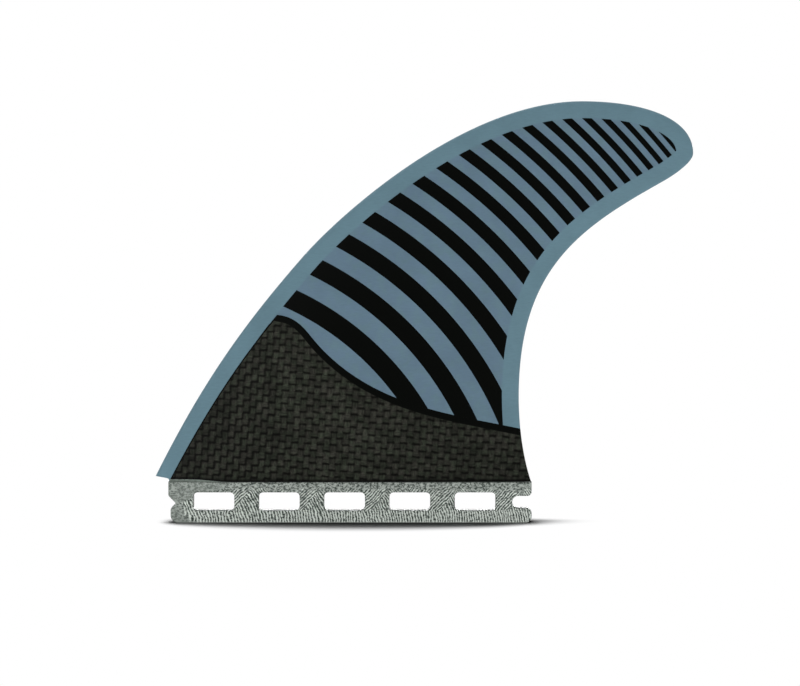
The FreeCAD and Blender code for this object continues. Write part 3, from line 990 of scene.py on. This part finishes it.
def tow_sheen(graph, place, each, upright):
    """Painted sheen on the tows: each crossing's own, patches, filaments along the tow, and dimmer
    ends.
    """
    x = graph.split(place)[0]
    upright_filaments = graph.stretched_noise(place, UPRIGHT_FILAMENT_STRETCH, FILAMENT_SCALE)
    level_filaments = graph.stretched_noise(place, LEVEL_FILAMENT_STRETCH, FILAMENT_SCALE)
    filaments = graph.blend(upright, level_filaments, upright_filaments)
    patches = graph.noise(place, PATCH_SCALE, *FINE_NOISE)
    sheen = graph.times(graph.step(each, 0.0, 1.0, *TOW_TONE),
                        graph.step(patches, *NOISE_SPAN, *PATCH_TONE))
    sheen = graph.times(sheen, graph.step(filaments, *NOISE_SPAN, *FILAMENT_TONE))
    front = graph.step(x, CARBON_DIM_X / MM, CARBON_LIT_X / MM, FRONT_LIGHT, 1.0)
    rear = graph.step(x, CARBON_LIT_TO_X / MM, CARBON_DULL_X / MM, 1.0, REAR_LIGHT)
    return graph.times(sheen, graph.times(front, rear))


def clear_carbon():
    """Woven carbon under the coat, with a black printed border along its top and beside the rim."""
    graph = Graph("clear_carbon")
    place = graph.place()
    x, _, z = graph.split(place)
    relief, light, each, upright = carbon_weave(graph, place)
    greener = graph.step(graph.noise(place, CARBON_HUE_SCALE), *CARBON_HUE_SPAN)
    tow = graph.mix(greener, linear(CARBON_TOW), linear(CARBON_TOW_GREEN))
    cloth = graph.mix(light, linear(CARBON_GAP_AND_SHADE), tow)
    cloth = graph.scaled(cloth, tow_sheen(graph, place, each, upright))
    top_border = graph.math("LESS_THAN", graph.stored("below_top"), BORDER_WIDTH / MM)
    rim_border = graph.math("LESS_THAN", graph.stored("behind_rim"), RIM_LINE_WIDTH / MM)
    cloth = graph.mix(graph.math("MAXIMUM", top_border, rim_border), cloth, linear(INK))
    above = graph.minus(z, BOARD_LINE / MM)
    trim = graph.step(x, TRIM_FROM_X / MM, TRIM_TO_X / MM, TRIM_HEIGHT / MM, 0.0)
    joint = graph.step(graph.minus(above, trim), *CLOTH_JOINT_SPAN, CLOTH_JOINT_LIGHT, 1.0)
    grain = graph.noise(place, GRAIN_SCALE, *GRAINY_NOISE)
    grain_tone = graph.step(grain, *TRIM_GRAIN_SPAN, *TRIM_GRAIN_TONE)
    glass = graph.scaled(linear(GLASS_CUT), grain_tone)
    trimmed = graph.math("LESS_THAN", above, trim)
    return graph.finish(
        Base_Color=graph.mix(trimmed, graph.scaled(cloth, joint), glass),
        Roughness=CARBON_ROUGHNESS,
        Specular_IOR_Level=COAT_SPECULAR,
        Normal=graph.bump(relief, CARBON_RELIEF, CARBON_RELIEF_STRENGTH),
    )


def slanted_strands(graph, place):
    """Strands, 0 between them and 1 on them: steep, and rising ones ahead of each web's ridge."""
    x, _, z = graph.split(place)
    bend = graph.swing(place, BEND_SCALE, STRAND_BEND / MM)
    jitter = graph.swing(place, STRAND_JITTER_SCALE, STRAND_JITTER / MM)
    spread = graph.math("MULTIPLY_ADD", graph.times(x, STRAND_SPREAD), x, x)
    bent = graph.plus(spread, graph.plus(bend, jitter))
    slant = graph.math("MULTIPLY_ADD", z, FALL_CURVE, FALL_SLANT)
    falling = graph.math("MULTIPLY_ADD", slant, z, bent)
    rising = graph.math("MULTIPLY_ADD", z, -RISE_SLANT, bent)
    rising = graph.times(rising, RISE_CLOSENESS)
    first_window = (TAB_FRONT + SOLID_FRONT_LENGTH + WINDOW_LENGTH / 2) / MM
    along = graph.math("FLOORED_MODULO", graph.minus(x, first_window), WINDOW_PITCH / MM)
    from_web = graph.minus(along, WINDOW_PITCH / MM / 2)
    drift = graph.step(x, TAB_FRONT / MM, TAB_REAR / MM, 0.0, RIDGE_DRIFT / MM)
    ridge = graph.math("MULTIPLY_ADD", graph.minus(z, RIDGE_TOP / MM), RIDGE_SLANT, drift)
    ahead = graph.math("LESS_THAN", from_web, ridge)
    over_rail = graph.math("GREATER_THAN", z, WINDOW_LIFT / MM)
    across = graph.blend(graph.times(ahead, over_rail), falling, rising)
    phase = graph.math("DIVIDE", across, STRAND_PITCH / MM)
    wave = graph.math("SINE", graph.times(phase, 2 * math.pi))
    return graph.step(wave, *STRAND_SPAN)


def beyond_calm_front(graph, x, z, wobble):
    """0 in the tab's calm front and 1 behind its border, which is furthest forward at the waist."""
    over_waist = graph.minus(z, CALM_WAIST / MM)
    reach = graph.math("MAXIMUM", graph.times(over_waist, CALM_SLOPE_ABOVE),
                       graph.times(over_waist, CALM_SLOPE_BELOW))
    from_front = graph.plus(graph.minus(x, reach), wobble)
    return graph.step(from_front, CALM_FRONT_X / MM, CALM_FRONT_END_X / MM)


def glass_value(graph, place, grain):
    """Paleness of the tab's sides, 0 to 1: broken strands, mottled above the windows and in front."""
    x, _, z = graph.split(place)
    coarse = graph.step(graph.noise(place, COARSE_SCALE), *COARSE_SPAN)
    broken = graph.noise(place, BROKEN_SCALE, *FINE_NOISE)
    broken = graph.step(broken, *BROKEN_SPAN, *BROKEN_LIGHT)
    bright = graph.math("MULTIPLY_ADD", coarse, COARSE_GAIN, COARSE_LEAST)
    laid = graph.times(slanted_strands(graph, place), graph.times(broken, bright))
    laid = graph.math("MULTIPLY_ADD", graph.minus(grain, GRAIN_MIDDLE), GRAIN_GAIN, laid)
    rail_low, rail_high = (WINDOW_LIFT - RAIL_BLUR) / MM, (WINDOW_LIFT + RAIL_BLUR) / MM
    laid = graph.times(laid, graph.step(z, rail_low, rail_high, *RAIL_AND_WEB_LIGHT))
    mottled = graph.math("MULTIPLY_ADD", grain, MOTTLE_GRAIN, graph.times(coarse, MOTTLE_COARSE))
    wobble = graph.swing(place, WOBBLE_SCALE, WOBBLE / MM, SOFT_DETAIL)
    high = graph.step(graph.plus(z, wobble), RAIL_TOP_FROM / MM, RAIL_TOP_TO / MM)
    beyond = beyond_calm_front(graph, x, z, wobble)
    mottled_share = graph.math("MAXIMUM", high, graph.minus(1.0, beyond))
    value = graph.blend(mottled_share, laid, mottled)
    contrast = graph.blend(beyond, CALM_CONTRAST, 1.0)
    value = graph.blend(contrast, CALM_VALUE, value)
    foot = graph.step(z, FOOT_EDGE / MM, 2 * FOOT_EDGE / MM, FOOT_VALUE, 0.0)
    return graph.math("MAXIMUM", value, foot)


def bare_glass():
    """Bare glass-fibre laminate, cut through, so that its grey-green strands show on the tab."""
    graph = Graph("bare_glass")
    place = graph.place()
    x, y, z = graph.split(place)
    grain = graph.stretched_noise(place, GRAIN_STRETCH, GRAIN_SCALE, *GRAINY_NOISE)
    grain = graph.step(grain, *GRAIN_SPAN)
    value = glass_value(graph, place, grain)
    side_tint = graph.mix(value, linear(GLASS_DARK), linear(GLASS_LIGHT))
    layers = graph.math("SINE", graph.times(y, 2 * math.pi * MM / LAYER_THICKNESS))
    layers = graph.math("MULTIPLY_ADD", graph.times(layers, grain), LAYER_GAIN, LAYER_MIDDLE)
    cut_tint = graph.scaled(linear(GLASS_CUT), layers)
    normal = graph.node("ShaderNodeNewGeometry").outputs["True Normal"]
    sideways = graph.math("ABSOLUTE", graph.split(normal)[1])
    tint = graph.mix(graph.step(sideways, *CUT_FACE_SPAN), cut_tint, side_tint)
    joint_light = graph.step(x, TRIM_FROM_X / MM, TRIM_TO_X / MM, *TAB_JOINT_LIGHT)
    joint_foot = (BOARD_LINE - TAB_JOINT_BLUR) / MM
    joint = graph.step(z, joint_foot, BOARD_LINE / MM, 1.0, joint_light)
    return graph.finish(
        Base_Color=graph.scaled(tint, joint),
        Roughness=graph.step(value, 0.0, 1.0, *GLASS_ROUGHNESS),
        Specular_IOR_Level=GLASS_SPECULAR,
        Normal=graph.bump(value, GLASS_RELIEF, GLASS_RELIEF_STRENGTH),
    )


def dress(obj, material):
    """Gives an object one material."""
    obj.data.materials.clear()
    obj.data.materials.append(material)


def area_light(name, place, size, power):
    """Soft rectangular light at a place, of a width and height, aimed at the fin's middle."""
    data = bpy.data.lights.new(name, "AREA")
    data.shape = "RECTANGLE"
    data.size, data.size_y = size
    data.energy = power
    lamp = bpy.data.objects.new(name, data)
    lamp.location = place
    aim = Vector((PICTURE_MIDDLE_X, 0, PICTURE_MIDDLE_Z))
    lamp.rotation_euler = (aim - lamp.location).to_track_quat("-Z", "Y").to_euler()
    bpy.context.scene.collection.objects.link(lamp)


def shown_background(tree):
    """1 for rays that show the background: from the camera, from gloss or through a clear thing."""
    path = tree.nodes.new("ShaderNodeLightPath")
    first = tree.nodes.new("ShaderNodeMath")
    second = tree.nodes.new("ShaderNodeMath")
    first.operation = second.operation = "MAXIMUM"
    tree.links.new(path.outputs["Is Camera Ray"], first.inputs[0])
    tree.links.new(path.outputs["Is Glossy Ray"], first.inputs[1])
    tree.links.new(path.outputs["Is Transmission Ray"], second.inputs[0])
    tree.links.new(first.outputs[0], second.inputs[1])
    return second.outputs[0]


def white_world():
    """White background over a dim, even ambient light."""
    world = bpy.data.worlds.new("studio")
    bpy.context.scene.world = world
    world.use_nodes = True
    tree = world.node_tree
    background = tree.nodes["Background"]
    strength = tree.nodes.new("ShaderNodeMapRange")
    strength.inputs["To Min"].default_value = AMBIENT_LEVEL
    tree.links.new(shown_background(tree), strength.inputs["Value"])
    tree.links.new(strength.outputs[0], background.inputs["Strength"])
    background.inputs["Color"].default_value = (1, 1, 1, 1)


def painted_shadow_distance(graph):
    """Distance on the floor from the tab's foot, in millimetres, that shapes the painted shadow: it
    grows faster at the ends.
    """
    x, y, _ = graph.split(graph.place())
    share = graph.math("DIVIDE", x, SHADOW_HALF_LENGTH / MM)
    share_squared = graph.times(share, share)
    width = graph.minus(1.0, share_squared)
    width = graph.math("SQRT", graph.math("MAXIMUM", width, LEAST_SHADOW_WIDTH ** 2))
    ahead = graph.times(graph.minus(PAINTED_SHADOW_FRONT_X / MM, x), FRONT_FADE)
    behind = graph.math("MAXIMUM", graph.minus(x, PAINTED_SHADOW_REAR_X / MM), 0.0)
    behind = graph.times(graph.math("POWER", behind, REAR_FADE_POWER), REAR_FADE)
    beyond = graph.math("MAXIMUM", ahead, behind)
    end_share = graph.math("MINIMUM", share_squared, 1.0)
    y = graph.minus(y, graph.times(end_share, SHADOW_END_SET_BACK / MM))
    aside = graph.math("MAXIMUM", graph.times(y, -1.0), graph.times(y, BEHIND_SHRINK))
    return graph.vector("LENGTH", graph.joined(beyond, graph.math("DIVIDE", aside, width)))


def floor():
    """White floor that keeps the fin's shadow, deepened at its foot by a shadow painted into its
    colour, and is plain white further out.
    """
    mesh = bpy.data.meshes.new("floor")
    half = FLOOR_SIZE / 2
    corners = [(-half, -half, 0), (half, -half, 0), (half, half, 0), (-half, half, 0)]
    mesh.from_pydata(corners, [], [(0, 1, 2, 3)])
    obj = bpy.data.objects.new("floor", mesh)
    bpy.context.scene.collection.objects.link(obj)
    graph = Graph("white_floor")
    distance = painted_shadow_distance(graph)
    # Painted shadow: the floor's colour darkens towards the tab's foot, on top of the lamps' own shadow
    # of the fin
    reached = graph.math("DIVIDE", distance, PAINTED_SHADOW_REACH / MM)
    fall = graph.times(graph.math("POWER", reached, PAINTED_SHADOW_POWER), -1.0)
    light = graph.math("MULTIPLY_ADD", graph.math("EXPONENT", fall), -PAINTED_SHADOW_DEPTH, 1.0)
    white = graph.scaled(linear(FLOOR_WHITE), light)
    graph.finish(Base_Color=white, Roughness=1.0, Specular_IOR_Level=0.0)
    far = graph.step(distance, SHADOW_KEPT_TO / MM, FLOOR_WHITE_FROM / MM)
    plain = graph.times(far, shown_background(graph.tree))
    glow = graph.node("ShaderNodeEmission", {"Strength": 1.0})
    shaders = {0: plain, 1: graph.shader.outputs[0], 2: glow.outputs[0]}
    blend = graph.node("ShaderNodeMixShader", shaders)
    surface = graph.tree.nodes["Material Output"].inputs["Surface"]
    graph.tree.links.new(blend.outputs[0], surface)
    dress(obj, graph.material)


def camera():
    """Long lens square to the fin's side, a little above level."""
    data = bpy.data.cameras.new("camera")
    data.sensor_width = SENSOR_WIDTH
    data.lens = SENSOR_WIDTH * CAMERA_DISTANCE / PICTURE_WIDTH
    data.clip_end = CAMERA_SEES_TO
    obj = bpy.data.objects.new("camera", data)
    tilt = math.radians(CAMERA_ELEVATION)
    middle = Vector((PICTURE_MIDDLE_X, 0, PICTURE_MIDDLE_Z))
    away = Vector((0, -math.cos(tilt), math.sin(tilt)))
    obj.location = middle + away * CAMERA_DISTANCE
    obj.rotation_euler = (-away).to_track_quat("-Z", "Y").to_euler()
    bpy.context.scene.collection.objects.link(obj)
    bpy.context.scene.camera = obj


def studio():
    """World, floor, a lamp overhead and behind, and low wide lamps in front and at the back."""
    white_world()
    floor()
    for name, place, size, power in LAMPS:
        area_light(name, place, size, power)


bpy.context.scene.view_settings.view_transform = "Standard"

blade_piece = blade()
dress(blade_piece, painted_laminate())
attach(blade_piece, "root")
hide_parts("fin_body")

tab_piece = tab()
dress(tab_piece, bare_glass())
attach(tab_piece, "root")
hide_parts("fin_body")

carbon = clear_carbon()
dress(carbon_cloth("cloth_left", -1, "carbon_ply_left"), carbon)
dress(carbon_cloth("cloth_right", 1, "carbon_ply_right"), carbon)

studio()
camera()
